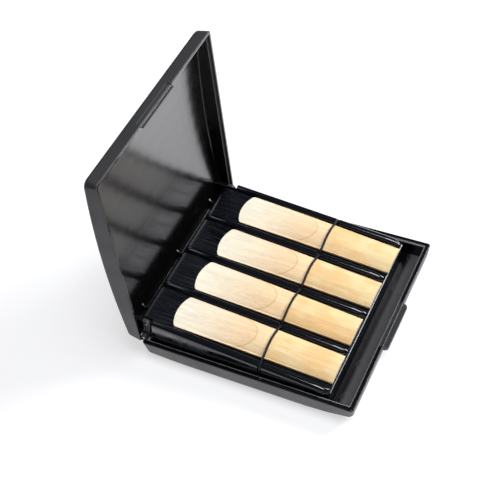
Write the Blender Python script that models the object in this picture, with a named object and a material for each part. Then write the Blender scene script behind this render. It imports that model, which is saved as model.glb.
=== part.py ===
# Reed case for four alto saxophone reeds, shown standing open.
# Two moulded shells are hinged along their back edge. A reed tray is pinned to two ears
# inside the lid, so it lifts and tilts as the lid opens, and its front edge stays on the floor.
# Metres, +Z up. The thumb ledge faces -Y, the hinge lies at +Y along X, and the origin is
# the middle of the flat underside.

import math

import bmesh
import bpy
from mathutils import Matrix, Vector

mm = 0.001

# Slots, four of them, each as wide as a reed's tip with a little play between two round rails
reed_tip_width = 16.0 * mm
slot_count = 4
slot_play = 0.7 * mm
rail_radius = 1.8 * mm
rail_margin = 0.05 * mm
tray_side_gap = 0.85 * mm

# Shells, both halves
wall = 2.45 * mm
slot_pitch = reed_tip_width + slot_play + 2 * rail_radius
case_width = slot_count * slot_pitch + 2 * (rail_radius + rail_margin + tray_side_gap + wall)
case_depth = 95.5 * mm
rim_corner = 1.4 * mm
face_corner = 1.0 * mm
rim_edge = 0.3 * mm
inner_corner = 0.6 * mm
inner_chamfer = 0.4 * mm
rim_gap = 0.3 * mm
corner_steps = 5
side_steps = 10
edge_steps = 5

# Base shell
base_height = 11.0 * mm
floor_thickness = 3.1 * mm
base_flat = 50.0 * mm
base_front_rise = 3.2 * mm
base_back_rise = 1.4 * mm
base_draft = 0.6 * mm
base_edge_inset = 3.8 * mm
base_edge_drop = 3.8 * mm
base_belly_corner = 1.6 * mm
rim_flat = 1.7 * mm
rim_bevel_drop = 0.6 * mm

# Lid shell
lid_height = 9.7 * mm
lid_crown = 2.5 * mm
lid_side_crown = 0.4 * mm
lid_draft = 0.15 * mm
lid_edge_inset = 5.2 * mm
lid_edge_drop = 2.0 * mm
lid_belly_corner = 2.8 * mm
roof_thickness = 1.7 * mm
flange_width = 1.15 * mm
rebate_depth = 1.1 * mm
gusset_spacing = 32.0 * mm
gusset_reach = 4.5 * mm
gusset_thickness = 0.9 * mm

# Latch: a tongue on the lid drops into a pocket behind the thumb ledge
latch_width = 24.4 * mm
tongue_drop = 0.9 * mm
tongue_inset = 0.95 * mm
tongue_thickness = 0.4 * mm
tongue_root = 0.3 * mm
scoop_height = 2.1 * mm
scoop_depth = 0.35 * mm
pocket_inset = 0.65 * mm
pocket_width = 1.0 * mm
pocket_depth = 1.3 * mm
latch_clearance = 0.35 * mm
thumb_reach = 1.7 * mm
thumb_thickness = 1.1 * mm
thumb_drop = 1.7 * mm
thumb_root = 0.8 * mm
thumb_corner = 1.6 * mm
thumb_rib_pitch = 0.8 * mm
thumb_rib_width = 0.4 * mm
thumb_rib_height = 0.18 * mm

# Hinge, with its axis on the back edge between the two rims
open_angle = math.radians(88.4)
knuckle_radius = 1.6 * mm
hinge_pin_radius = 0.6 * mm
pin_clearance = 0.3 * mm
knuckle_end_inset = 1.85 * mm
outer_knuckle_length = 2.0 * mm
lid_knuckle_length = 10.2 * mm
inner_knuckle_length = 4.0 * mm
knuckle_gap = 0.4 * mm
cut_clearance = 0.3 * mm
pin_end_recess = 0.3 * mm
pin_chamfer = 0.15 * mm
round_sides = 24

# Tray
rail_steps = 10
tray_length = 86.3 * mm
slot_rise = 0.4 * mm
tray_plate = 1.5 * mm
skirt = 2.2 * mm
front_wall = 1.5 * mm
end_wall = 1.2 * mm
end_depth = 4.0 * mm
end_round = 1.8 * mm
front_round = 1.0 * mm
front_steps = 4
tray_corner = 3.5 * mm
front_wall_share = 0.8
nose_start = 0.8 * mm
nose_length = 7.5 * mm
nose_steps = 9
nose_width_share = 0.15
rail_end = 2.2 * mm
rail_fall_share = 0.5
rail_end_share = 0.35
end_wall_shares = (1.0, 0.5, 0.2, 0.0)
skirt_ramp = 5.0 * mm
step_slope = 0.05 * mm
sole_step = 0.1 * mm
floor_clearance = 0.3 * mm
slot_rib_offset = 6.3 * mm
slot_rib_width = 0.5 * mm
slot_rib_height = 0.3 * mm
slot_rib_margin = 2.0 * mm

# Tray pivots, on ears inside the lid
pivot_reach = 7.7 * mm
pivot_depth = 1.6 * mm
pivot_from_front = 83.4 * mm
pivot_pin_radius = 0.7 * mm
pivot_pin_bite = 2.4 * mm
ear_thickness = 1.8 * mm
ear_radius = 2.0 * mm
ear_root = 0.9 * mm
ear_side_clearance = 0.3 * mm
ear_front_clearance = 1.3 * mm
boss_width = 3.0 * mm
boss_depth = 3.6 * mm
boss_front = 2.2 * mm

# Reeds
reed_length = 72.7 * mm
reed_butt_width = 13.8 * mm
reed_side_height = 1.2 * mm
cane_radius = 12.7 * mm
bark_length = 37.0 * mm
file_length = 31.0 * mm
file_depth = 0.2 * mm
heart_drop = 0.5 * mm
tip_thickness = 0.3 * mm
vamp_power = 1.25
tip_arc_radius = 15.5 * mm
tip_corner = 0.9 * mm
reed_seat = 0.3 * mm
reed_across = 12
reed_along = 26

# How far each reed's butt stops behind the tray's front edge, and how it lies in its slot
reed_setback = (1.2 * mm, 1.5 * mm, 0.9 * mm, 0.35 * mm)
reed_tip_shift = (-0.2 * mm, -0.15 * mm, -0.2 * mm, 0.2 * mm)
reed_yaw = (math.radians(0.2), math.radians(-0.45), math.radians(-0.3), math.radians(-0.7))

# Elastic cord
cord_diameter = 1.0 * mm
cord_from_front = 31.1 * mm
cord_clearance = 0.3 * mm
cord_corner_clearance = 0.5 * mm
cord_groove = 1.7 * mm
cord_dip = 0.9 * mm
cord_dip_half = 0.45 * mm
cord_edge_height = 1.75 * mm
cord_bend = 2.2 * mm
cord_run_depth = 5.4 * mm
cord_side_gap = 0.15 * mm
cord_slot_clearance = 0.35 * mm
cord_step = 2.4 * mm
knot_share = 1.7
cord_fan_angle = math.radians(8.5)
cord_fan_steps = 3
cord_bend_angle = math.radians(70)
cord_bend_steps = 3
under_shares = (0.75, 0.5, 0.25, 0.0, -0.25, -0.5, -0.75)
loop_steps = 12
knot_length = 3.0 * mm
arc_steps = 7

# One overrun for every cut and every seat that sinks into its carrier
overrun = 1.0 * mm

# Places worked out from the sizes above
half_width = case_width / 2
half_depth = case_depth / 2
lid_rim = base_height + rim_gap
axis_point = Vector((0.0, half_depth, base_height + rim_gap / 2))
rail_count = slot_count + 1
outer_knuckle_end = half_width - knuckle_end_inset
tray_half_width = half_width - wall - tray_side_gap
tray_height = base_height - floor_thickness - floor_clearance + slot_rise
closed_slot_floor = floor_thickness + floor_clearance + tray_height
closed_pivot = Vector((0.0, half_depth - pivot_reach, closed_slot_floor - pivot_depth))
tray_front_y = -pivot_from_front
tray_back_y = tray_length - pivot_from_front
cord_y = tray_front_y + cord_from_front
cord_radius = cord_diameter / 2

lid_turn = Matrix.Rotation(-open_angle, 4, "X")
open_pivot = axis_point + lid_turn @ (closed_pivot - axis_point)


def tray_tilt():
    """Angle at which the tray's front lower edge stays at the height it has when closed."""
    drop = tray_height - pivot_depth
    reach = math.hypot(pivot_from_front, drop)
    lean = math.atan2(drop, pivot_from_front)
    lift = open_pivot.z - (floor_thickness + floor_clearance)
    return math.asin(lift / reach) - lean


def clear_scene():
    for item in list(bpy.data.objects):
        bpy.data.objects.remove(item, do_unlink=True)


def plastic(name, colour, roughness, metallic=0.0):
    finish = bpy.data.materials.new(name)
    finish.use_nodes = True
    shader = finish.node_tree.nodes["Principled BSDF"]
    shader.inputs["Base Color"].default_value = (*colour, 1.0)
    shader.inputs["Roughness"].default_value = roughness
    shader.inputs["Metallic"].default_value = metallic
    return finish


def add_object(name, data, finish=None, parent=None):
    item = bpy.data.objects.new(name, data)
    bpy.context.scene.collection.objects.link(item)
    if finish:
        data.materials.append(finish)
    if parent:
        item.parent = parent
    return item


def mesh_object(name, shape, finish=None, parent=None, smooth_angle=None):
    bmesh.ops.recalc_face_normals(shape, faces=shape.faces)
    data = bpy.data.meshes.new(name)
    shape.to_mesh(data)
    shape.free()
    if smooth_angle:
        data.shade_smooth()
        data.set_sharp_from_angle(angle=smooth_angle)
    return add_object(name, data, finish, parent)


def frame(name, location, turn):
    holder = add_object(name, None)
    holder.location = location
    holder.rotation_euler = (turn, 0.0, 0.0)
    return holder


def guide(item):
    item.hide_render = True
    item.display_type = "WIRE"
    return item


def combine(target, tool, operation):
    step = target.modifiers.new(tool.name, "BOOLEAN")
    step.operation = operation
    step.solver = "EXACT"
    step.object = guide(tool)


def add_box(shape, low, high):
    size = Vector(high) - Vector(low)
    middle = (Vector(high) + Vector(low)) / 2
    place = Matrix.Translation(middle) @ Matrix.Diagonal((*size, 1.0))
    bmesh.ops.create_cube(shape, size=1.0, matrix=place)


def add_rod(shape, centre, radius, x_from, x_to, chamfer=0.0):
    """Round bar along X, with a small chamfer at each end if asked for."""
    stations = [(x_from, radius), (x_to, radius)]
    if chamfer:
        stations = [(x_from, radius - chamfer), (x_from + chamfer, radius),
                    (x_to - chamfer, radius), (x_to, radius - chamfer)]
    rings = []
    for x, r in stations:
        ring = []
        for k in range(round_sides):
            a = 2 * math.pi * k / round_sides
            place = (x, centre.y + r * math.cos(a), centre.z + r * math.sin(a))
            ring.append(shape.verts.new(place))
        rings.append(ring)
    close_rings(shape, rings)


def close_rings(shape, rings):
    for lower, upper in zip(rings, rings[1:]):
        bridge(shape, lower, upper)
    shape.faces.new(rings[0])
    shape.faces.new(rings[-1])


def bridge(shape, first, second):
    count = len(first)
    for k in range(count):
        n = (k + 1) % count
        shape.faces.new((first[k], first[n], second[n], second[k]))


def add_prism(shape, outline, x_from, x_to):
    """Plate across X whose outline is a list of (y, z) points."""
    rings = [[shape.verts.new((x, y, z)) for y, z in outline] for x in (x_from, x_to)]
    close_rings(shape, rings)


def add_plate(shape, outline, z_from, z_to):
    """Level plate whose outline is a list of (x, y) points."""
    rings = [[shape.verts.new((x, y, z)) for x, y in outline] for z in (z_from, z_to)]
    close_rings(shape, rings)


def both_sides(x_from, x_to):
    return (x_from, x_to), (-x_to, -x_from)


# Shells

def knuckle_spans():
    """Ends along X of the outer base knuckle, the lid knuckle and the inner base knuckle."""
    outer_in = outer_knuckle_end - outer_knuckle_length
    lid_out = outer_in - knuckle_gap
    lid_in = lid_out - lid_knuckle_length
    inner_out = lid_in - knuckle_gap
    return ((outer_in, outer_knuckle_end), (lid_in, lid_out),
            (inner_out - inner_knuckle_length, inner_out))


def ear_span():
    """The ear is the outermost slice of the lid's knuckle, carried up to the tray's pivot."""
    outer_face = knuckle_spans()[1][1]
    return outer_face - ear_thickness, outer_face


def shell_outline(inset, radius):
    """Right half of a rounded rectangle, from the front edge to the back edge."""
    hx = half_width - inset
    hy = half_depth - inset
    points = []
    for k in range(corner_steps + 1):
        a = math.pi / 2 * (1 - k / corner_steps)
        points.append((hx - radius + radius * math.cos(a),
                       -hy + radius - radius * math.sin(a)))
    straight = 2 * (hy - radius)
    for k in range(1, side_steps):
        points.append((hx, -hy + radius + straight * k / side_steps))
    for k in range(corner_steps + 1):
        a = math.pi / 2 * k / corner_steps
        points.append((hx - radius + radius * math.cos(a), hy - radius + radius * math.sin(a)))
    return points


def add_shell(shape, sections):
    """Closed body through nested sections (inset, corner radius, height), outside to inside."""
    rings = []
    for inset, radius, height in sections:
        half = shell_outline(inset, radius)
        right = [shape.verts.new((x, y, height(x, y))) for x, y in half]
        left = [shape.verts.new((-x, y, height(x, y))) for x, y in half]
        rings.append((right, left))
    for (right_a, left_a), (right_b, left_b) in zip(rings, rings[1:]):
        bridge(shape, right_a + left_a[::-1], right_b + left_b[::-1])
    for right, left in (rings[0], rings[-1]):
        for k in range(len(right) - 1):
            shape.faces.new((right[k], right[k + 1], left[k + 1], left[k]))


def level(z):
    return lambda x, y: z


def base_under(x, y):
    """Underside: flat in the middle and rising towards the front and back."""
    past = max(0.0, abs(y) - base_flat / 2)
    rise = base_back_rise if y > 0 else base_front_rise
    return rise * (past / (half_depth - base_flat / 2)) ** 2


def lid_top(x, y):
    crown = lid_crown * (y / half_depth) ** 2 + lid_side_crown * (x / half_width) ** 2
    return lid_rim + lid_height - crown


def lid_under(x, y):
    return lid_top(x, y) - roof_thickness


def edge_sections(surface, draft, inset, drop, corner, towards_rim):
    """Rounded outer edge, from the broad face round to the side wall."""
    sections = []
    for k in range(edge_steps + 1):
        a = math.pi / 2 * k / edge_steps
        radius = face_corner + (corner - face_corner) * math.sin(a)
        off = towards_rim * drop * (1 - math.cos(a))
        sections.append((draft + inset * (1 - math.sin(a)), radius,
                         lambda x, y, off=off: surface(x, y) + off))
    return sections


def make_base(finish):
    shape = bmesh.new()
    sections = edge_sections(base_under, base_draft, base_edge_inset, base_edge_drop,
                             base_belly_corner, 1)
    sections += [
        (0.0, rim_corner, level(base_height - rim_edge)),
        (rim_edge, rim_corner - rim_edge, level(base_height)),
        (rim_flat, inner_corner, level(base_height)),
        (wall, inner_corner, level(base_height - rim_bevel_drop)),
        (wall, inner_corner, level(floor_thickness + inner_chamfer)),
        (wall + inner_chamfer, inner_corner, level(floor_thickness)),
    ]
    add_shell(shape, sections)
    base = mesh_object("base_shell", shape, finish, smooth_angle=math.radians(35))

    added = bmesh.new()
    outer, _, inner = knuckle_spans()
    for span in (outer, inner):
        for x_from, x_to in both_sides(*span):
            add_rod(added, axis_point, knuckle_radius, x_from, x_to)
    thumb_top = base_height - thumb_drop
    thumb_y = -half_depth - thumb_reach
    add_plate(added, thumb_outline(), thumb_top - thumb_thickness, thumb_top)
    combine(base, mesh_object("base_additions", added), "UNION")

    ribs = bmesh.new()
    rib_count = int((latch_width - 2 * thumb_corner) / thumb_rib_pitch)
    for k in range(rib_count + 1):
        x = (k - rib_count / 2) * thumb_rib_pitch
        add_box(ribs, (x - thumb_rib_width / 2, thumb_y + thumb_rib_height, thumb_top - thumb_rib_width),
                (x + thumb_rib_width / 2, -half_depth + pocket_inset / 2, thumb_top + thumb_rib_height))
    combine(base, mesh_object("thumb_ribs", ribs), "UNION")

    cuts = bmesh.new()
    _, lid_span, _ = knuckle_spans()
    for x_from, x_to in both_sides(lid_span[0] - cut_clearance, lid_span[1] + cut_clearance):
        add_rod(cuts, axis_point, knuckle_radius + cut_clearance, x_from, x_to)
    pocket_half = latch_width / 2 + latch_clearance
    add_box(cuts, (-pocket_half, -half_depth + pocket_inset, base_height - pocket_depth),
            (pocket_half, -half_depth + pocket_inset + pocket_width, base_height + overrun))
    combine(base, mesh_object("base_cuts", cuts), "DIFFERENCE")

    notches = bmesh.new()
    ear_in, ear_out = ear_span()
    notch_floor = ear_underside(half_depth - wall) - cut_clearance
    for x_from, x_to in both_sides(ear_in - cut_clearance, ear_out + cut_clearance):
        add_box(notches, (x_from, half_depth - wall - overrun, notch_floor),
                (x_to, half_depth + overrun, base_height + overrun))
    combine(base, mesh_object("ear_notches", notches), "DIFFERENCE")
    combine(base, pin_bores("base_bores"), "DIFFERENCE")
    return base


def pin_bores(name):
    shape = bmesh.new()
    x_from = knuckle_spans()[2][0] - overrun
    for a, b in both_sides(x_from, outer_knuckle_end + overrun):
        add_rod(shape, axis_point, hinge_pin_radius + pin_clearance, a, b)
    return mesh_object(name, shape)


def thumb_outline():
    """Plan of the thumb ledge, with its two outer corners rounded."""
    half = latch_width / 2
    y_in = -half_depth + thumb_root
    y_out = -half_depth - thumb_reach
    points = [(half, y_in)]
    for side in (1, -1):
        for k in range(arc_steps + 1):
            a = math.pi / 2 * (k if side == 1 else arc_steps - k) / arc_steps
            points.append((side * (half - thumb_corner + thumb_corner * math.cos(a)),
                           y_out + thumb_corner - thumb_corner * math.sin(a)))
    points.append((-half, y_in))
    return points


def ear_underside(y):
    """Height of the ear's lower edge with the lid shut, below both the knuckle and the pivot."""
    share = (axis_point.y - y) / (axis_point.y - closed_pivot.y)
    at_axis = axis_point.z - knuckle_radius
    at_pivot = closed_pivot.z - ear_radius
    return at_axis + share * (at_pivot - at_axis)


def ear_outline():
    """Ear in (y, z) with the lid shut: from the roof and back wall down round the tray pivot."""
    y_back = half_depth - wall + ear_root
    roof = lid_under(half_width, half_depth - pivot_reach) + ear_root
    points = [(y_back, roof), (y_back, lid_rim + rebate_depth + ear_root), axis_point.yz]
    edge = Vector((-1.0, (ear_underside(half_depth - wall) - ear_underside(half_depth)) / wall)).normalized()
    lower = Vector((-edge.y, edge.x))
    start = math.atan2(lower.y, lower.x)
    points.append(axis_point.yz + lower * knuckle_radius)
    for k in range(arc_steps + 1):
        a = start - (math.pi + start) * k / arc_steps
        points.append((closed_pivot.y + ear_radius * math.cos(a),
                       closed_pivot.z + ear_radius * math.sin(a)))
    points.append((closed_pivot.y - ear_radius, roof))
    return points


def scoop_outline():
    """Finger scoop in (y, z): a shallow recess over a bevel that runs down to the tongue."""
    y_out = -half_depth - overrun
    y_scoop = -half_depth + scoop_depth
    y_tongue = -half_depth + tongue_inset
    z_low = lid_rim - tongue_drop - overrun
    bevel_top = lid_rim + tongue_inset - scoop_depth
    z_top = lid_rim + scoop_height
    return [(y_out, z_low), (y_tongue, z_low), (y_tongue, lid_rim), (y_scoop, bevel_top),
            (y_scoop, z_top), (y_out, z_top)]


def make_lid(finish, holder):
    shape = bmesh.new()
    sections = edge_sections(lid_top, lid_draft, lid_edge_inset, lid_edge_drop,
                             lid_belly_corner, -1)
    sections += [
        (0.0, rim_corner, level(lid_rim + rim_edge)),
        (rim_edge, rim_corner - rim_edge, level(lid_rim)),
        (flange_width, inner_corner, level(lid_rim)),
        (flange_width, inner_corner, level(lid_rim + rebate_depth)),
        (wall, inner_corner, level(lid_rim + rebate_depth)),
        (wall, inner_corner, lambda x, y: lid_under(x, y) - inner_chamfer),
        (wall + inner_chamfer, inner_corner, lid_under),
    ]
    add_shell(shape, sections)
    lid = mesh_object("lid_shell", shape, finish, holder, smooth_angle=math.radians(35))

    added = bmesh.new()
    _, lid_span, _ = knuckle_spans()
    for x_from, x_to in both_sides(*lid_span):
        add_rod(added, axis_point, knuckle_radius, x_from, x_to)
    for x in (-gusset_spacing, 0.0, gusset_spacing):
        y_wall = half_depth - wall
        y_end = y_wall - gusset_reach
        foot = lid_under(x, y_wall) - gusset_reach
        outline = [(y_wall + wall / 2, lid_under(x, y_wall)), (y_wall + wall / 2, foot),
                   (y_wall, foot), (y_end, lid_under(x, y_end)),
                   (y_end, lid_under(x, y_end) + roof_thickness / 2)]
        add_prism(added, outline, x - gusset_thickness / 2, x + gusset_thickness / 2)
    tongue_half = latch_width / 2
    add_box(added, (-tongue_half, -half_depth + tongue_inset, lid_rim - tongue_drop),
            (tongue_half, -half_depth + tongue_inset + tongue_thickness, lid_rim + rebate_depth + tongue_root))
    combine(lid, mesh_object("lid_additions", added, parent=holder), "UNION")

    ears = bmesh.new()
    for x_from, x_to in both_sides(*ear_span()):
        add_prism(ears, ear_outline(), x_from, x_to)
    combine(lid, mesh_object("lid_ears", ears, parent=holder), "UNION")

    cuts = bmesh.new()
    outer, _, inner = knuckle_spans()
    for span in (outer, inner):
        for x_from, x_to in both_sides(span[0] - cut_clearance, span[1] + cut_clearance):
            add_rod(cuts, axis_point, knuckle_radius + cut_clearance, x_from, x_to)
    add_prism(cuts, scoop_outline(), -tongue_half, tongue_half)
    combine(lid, mesh_object("lid_cuts", cuts, parent=holder), "DIFFERENCE")
    bores = pin_bores("lid_bores")
    bores.parent = holder
    combine(lid, bores, "DIFFERENCE")

    pivots = bmesh.new()
    for x_from, x_to in both_sides(ear_span()[0] - overrun, ear_span()[1] + overrun):
        add_rod(pivots, closed_pivot, pivot_pin_radius + pin_clearance, x_from, x_to)
    combine(lid, mesh_object("ear_bores", pivots, parent=holder), "DIFFERENCE")
    shift_into(holder)
    return lid


def shift_into(holder):
    """Meshes were drawn with the lid shut: set them about the hinge axis that the holder turns on."""
    for child in holder.children:
        child.data.transform(Matrix.Translation(-axis_point))


def make_hinge_pins(finish):
    inner = knuckle_spans()[2][0]
    for side, spans in (("right", 0), ("left", 1)):
        shape = bmesh.new()
        x_from, x_to = both_sides(inner + pin_end_recess, outer_knuckle_end - pin_end_recess)[spans]
        add_rod(shape, Vector((0.0, 0.0, 0.0)), hinge_pin_radius, x_from, x_to, pin_chamfer)
        pin = mesh_object("hinge_pin_" + side, shape, finish, smooth_angle=math.radians(40))
        pin.location = axis_point


# Tray, drawn about its pivot axis: x across, y along with the front at -y, z from the slot floor

def rail_bump(x_centre, width_share, height_share, base_z):
    half = width_share * rail_radius
    height = height_share * rail_radius
    points = []
    for k in range(rail_steps + 1):
        a = math.pi * (1 - k / rail_steps)
        points.append((x_centre + half * math.cos(a), base_z + height * math.sin(a)))
    return points


def corner_drop(along):
    """How far the rounded front corner has turned in at this distance from the tray's front edge."""
    past = max(0.0, tray_corner - along)
    return tray_corner - math.sqrt(tray_corner ** 2 - past ** 2)


def tray_section(shape, y, top, rail_shares, under, sole):
    """One slice: rails and slot floors above, an open box below between the two skirts."""
    half = tray_half_width - corner_drop(y - tray_front_y)
    reach = half - rail_margin - rail_radius
    profile = [(-half, -sole), (-half, top)]
    for k in range(rail_count):
        x_centre = (k - slot_count / 2) * slot_pitch
        profile += rail_bump(min(max(x_centre, -reach), reach), *rail_shares, top)
    inside = half - skirt
    profile += [(half, top), (half, -sole), (inside, -sole), (inside, -under)]
    profile += [(-inside, -under), (-inside, -sole)]
    return [shape.verts.new((x, y, z + pivot_depth)) for x, z in profile]


def tray_stations():
    """Stations from front to back: y, drop of the top edge, rail shares, underside, skirt depth."""
    full_sole = tray_height
    solid = tray_height - sole_step
    rows = []
    for k in range(front_steps + 1):
        a = math.pi / 2 * k / front_steps
        along = front_round * (1 - math.cos(a))
        rows.append((along, -front_round * (1 - math.sin(a)), along, solid, full_sole))
    for along in (front_wall * front_wall_share, front_wall):
        rows.append((along, 0.0, along, solid, full_sole))
    rows.append((front_wall + step_slope, 0.0, front_wall + step_slope, tray_plate, full_sole))
    for k in range(1, nose_steps + 1):
        along = nose_start + nose_length * k / nose_steps
        rows.append((along, 0.0, along, tray_plate, full_sole))
    ramp_end = tray_length - pivot_from_front + skirt_ramp
    rows.append((tray_length - ramp_end, 0.0, tray_length, tray_plate, full_sole))
    sections = [(tray_front_y + d, drop, nose_shares(n), u, s) for d, drop, n, u, s in rows]

    inner_end = tray_back_y - end_wall
    slope = (full_sole - end_depth) / (ramp_end - end_wall)
    sections.append((tray_back_y - rail_end - end_round, 0.0, (1.0, 1.0), tray_plate,
                     end_depth + slope * (rail_end + end_round - end_wall)))
    solid_end = end_depth - sole_step
    sections.append((inner_end - step_slope, -end_drop(end_wall + step_slope), (1.0, rail_fall_share),
                     tray_plate, end_depth + slope * step_slope))
    for share in end_wall_shares:
        back = end_wall * share
        sections.append((tray_back_y - back, -end_drop(back), (1.0, rail_end_share * share),
                         solid_end, end_depth))
    return sections


def nose_shares(along):
    """Share of a rail's full width and height at this distance from the tray's front edge."""
    past = min(max(along - nose_start, 0.0), nose_length)
    rise = math.sqrt(1 - (1 - past / nose_length) ** 2)
    return nose_width_share + (1 - nose_width_share) * rise, rise


def end_drop(back):
    """How far the rounded hinge end has fallen at this distance from its tip."""
    past = max(0.0, end_round - back)
    return end_round - math.sqrt(end_round ** 2 - past ** 2)


def make_tray(finish, holder):
    shape = bmesh.new()
    rings = [tray_section(shape, *row) for row in tray_stations()]
    close_rings(shape, rings)
    tray = mesh_object("reed_tray", shape, finish, holder, smooth_angle=math.radians(35))

    added = bmesh.new()
    z_floor = pivot_depth
    for slot in range(slot_count):
        x_slot = slot_centre(slot)
        for offset in (-slot_rib_offset, 0.0, slot_rib_offset):
            x = x_slot + offset
            add_box(added, (x - slot_rib_width / 2, tray_front_y + slot_rib_margin, z_floor - tray_plate / 2),
                    (x + slot_rib_width / 2, tray_back_y - end_round, z_floor + slot_rib_height))
    notch_side = ear_span()[0] - ear_side_clearance
    for x_from, x_to in both_sides(notch_side - boss_width, notch_side):
        add_box(added, (x_from, -boss_front, z_floor - boss_depth),
                (x_to, tray_back_y - end_wall / 2, z_floor - tray_plate / 2))
    combine(tray, mesh_object("tray_additions", added, parent=holder), "UNION")

    cuts = bmesh.new()
    outside = tray_half_width + overrun
    notch_front = -(ear_radius + ear_front_clearance)
    slot_half = cord_radius + cord_slot_clearance
    for x_from, x_to in both_sides(notch_side, outside):
        add_box(cuts, (x_from, notch_front, z_floor - tray_height - overrun),
                (x_to, tray_back_y + overrun, z_floor + rail_radius + overrun))
    groove = tray_half_width - cord_groove
    for x_from, x_to in both_sides(groove, outside):
        add_box(cuts, (x_from, cord_y - slot_half, z_floor - cord_run_depth),
                (x_to, cord_y + slot_half, z_floor + rail_radius + overrun))
    combine(tray, mesh_object("tray_cuts", cuts, parent=holder), "DIFFERENCE")

    holes = bmesh.new()
    for x_from, x_to in both_sides(tray_half_width - skirt - overrun, outside):
        hole_floor = z_floor - cord_run_depth - cord_radius - cord_clearance
        add_box(holes, (x_from, cord_y - slot_half, hole_floor),
                (x_to, cord_y + slot_half, z_floor - cord_run_depth + cord_bend + cord_radius))
    for k in range(rail_count):
        x = (k - slot_count / 2) * slot_pitch
        add_box(holes, (x - rail_radius - overrun, cord_y - slot_half, z_floor),
                (x + rail_radius + overrun, cord_y + slot_half, z_floor + rail_radius + overrun))
    for x_from, x_to in both_sides(notch_side - pivot_pin_bite - pin_end_recess, notch_side + overrun):
        add_rod(holes, Vector((0.0, 0.0, 0.0)), pivot_pin_radius + pin_clearance, x_from, x_to)
    combine(tray, mesh_object("tray_holes", holes, parent=holder), "DIFFERENCE")
    return tray


def make_tray_pins(finish, holder):
    x_from = ear_span()[0] - ear_side_clearance - pivot_pin_bite
    x_to = ear_span()[1]
    for side, (a, b) in zip(("right", "left"), both_sides(x_from, x_to)):
        shape = bmesh.new()
        add_rod(shape, Vector((0.0, 0.0, 0.0)), pivot_pin_radius, a, b, pin_chamfer)
        mesh_object("tray_pin_" + side, shape, finish, holder, smooth_angle=math.radians(40))


# Reeds, drawn with the butt at y = 0 and the tip towards +y, underside on z = 0

def slot_centre(slot):
    return (slot - (slot_count - 1) / 2) * slot_pitch


def reed_half_width(y):
    share = y / reed_length
    return (reed_butt_width + (reed_tip_width - reed_butt_width) * share) / 2


def bark_height(x):
    """Height of the round outer side of the cane above the flat underside."""
    half = reed_butt_width / 2
    centre = reed_side_height - math.sqrt(cane_radius ** 2 - half ** 2)
    return centre + math.sqrt(cane_radius ** 2 - min(abs(x), half) ** 2)


def vamp_height(x, y):
    """Slope scraped from the bark to the tip, with the heart left a little proud."""
    share = (y - bark_length) / (reed_length - bark_length)
    share = min(max(share, 0.0), 1.0)
    crown = bark_height(0.0) - file_depth
    ramp = tip_thickness + (crown - tip_thickness) * (1 - share) ** vamp_power
    side = heart_drop * (x / reed_half_width(y)) ** 2 * math.sin(math.pi * share)
    return max(tip_thickness, ramp - side)


def reed_top(x, y):
    height = bark_height(x)
    if y > file_length:
        height -= file_depth * min(1.0, (y - file_length) / file_depth)
    if y > bark_length:
        height = min(height, vamp_height(x, y))
    return max(height, tip_thickness)


def tip_end(x):
    """Where the arc of the tip lies for this distance from the reed's middle."""
    half = reed_tip_width / 2
    drop = tip_arc_radius - math.sqrt(tip_arc_radius ** 2 - x ** 2)
    past = max(0.0, abs(x) - (half - tip_corner)) / tip_corner
    return reed_length - drop - tip_corner * (1 - math.sqrt(max(0.0, 1 - past ** 2)))


def reed_mesh():
    """Grid over the reed's top, mirrored flat below and joined round its edge."""
    shape = bmesh.new()
    tops, soles = [], []
    for j in range(reed_along + 1):
        along = j / reed_along
        top_row, sole_row = [], []
        for i in range(reed_across + 1):
            across = -math.cos(math.pi * i / reed_across)
            end = tip_end(across * reed_tip_width / 2)
            y = along * end
            x = across * reed_half_width(y)
            top_row.append(shape.verts.new((x, y, reed_top(x, y))))
            sole_row.append(shape.verts.new((x, y, 0.0)))
        tops.append(top_row)
        soles.append(sole_row)
    for rows in (tops, soles):
        for a, b in zip(rows, rows[1:]):
            for i in range(reed_across):
                shape.faces.new((a[i], a[i + 1], b[i + 1], b[i]))
    rim_top = edge_loop(tops)
    rim_sole = edge_loop(soles)
    bridge(shape, rim_top, rim_sole)
    return shape


def edge_loop(rows):
    loop = list(rows[0]) + [row[-1] for row in rows[1:-1]]
    return loop + rows[-1][::-1] + [row[0] for row in rows[-2:0:-1]]


def reed_place(slot):
    """Matrix that lays a reed in its slot, in the tray's own frame."""
    butt_y = tray_front_y + reed_setback[slot]
    x = slot_centre(slot) + reed_tip_shift[slot] + math.sin(reed_yaw[slot]) * reed_length
    z = pivot_depth + slot_rib_height + reed_seat
    return Matrix.Translation((x, butt_y, z)) @ Matrix.Rotation(reed_yaw[slot], 4, "Z")


def make_reeds(finish, holder):
    for slot in range(slot_count):
        shape = reed_mesh()
        reed = mesh_object("reed_" + str(slot + 1), shape, finish, holder, smooth_angle=math.radians(35))
        reed.matrix_local = reed_place(slot)


# Elastic cord, in the tray's frame as (x, height above the slot floor)

def cord_side_x():
    return tray_half_width - cord_side_gap - cord_radius


def cord_over_reed(slot):
    """Points over one reed, on an arc that clears its bark."""
    place = reed_place(slot)
    along = cord_y - (tray_front_y + reed_setback[slot])
    x_reed = (place @ Vector((0.0, along, 0.0))).x
    base = slot_rib_height + reed_seat
    reach = cane_radius + cord_clearance + cord_radius
    centre = base + bark_height(0.0) - cane_radius
    points = []
    for k in range(-cord_fan_steps, cord_fan_steps + 1):
        a = cord_fan_angle * k
        points.append((x_reed + reach * math.sin(a), centre + reach * math.cos(a)))
    past_corner = (cord_corner_clearance + cord_radius) * math.sqrt(0.5)
    x_corner = reed_half_width(along) + past_corner
    z_corner = base + reed_side_height + past_corner
    return [(x_reed - x_corner, z_corner)] + points + [(x_reed + x_corner, z_corner)]


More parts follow.
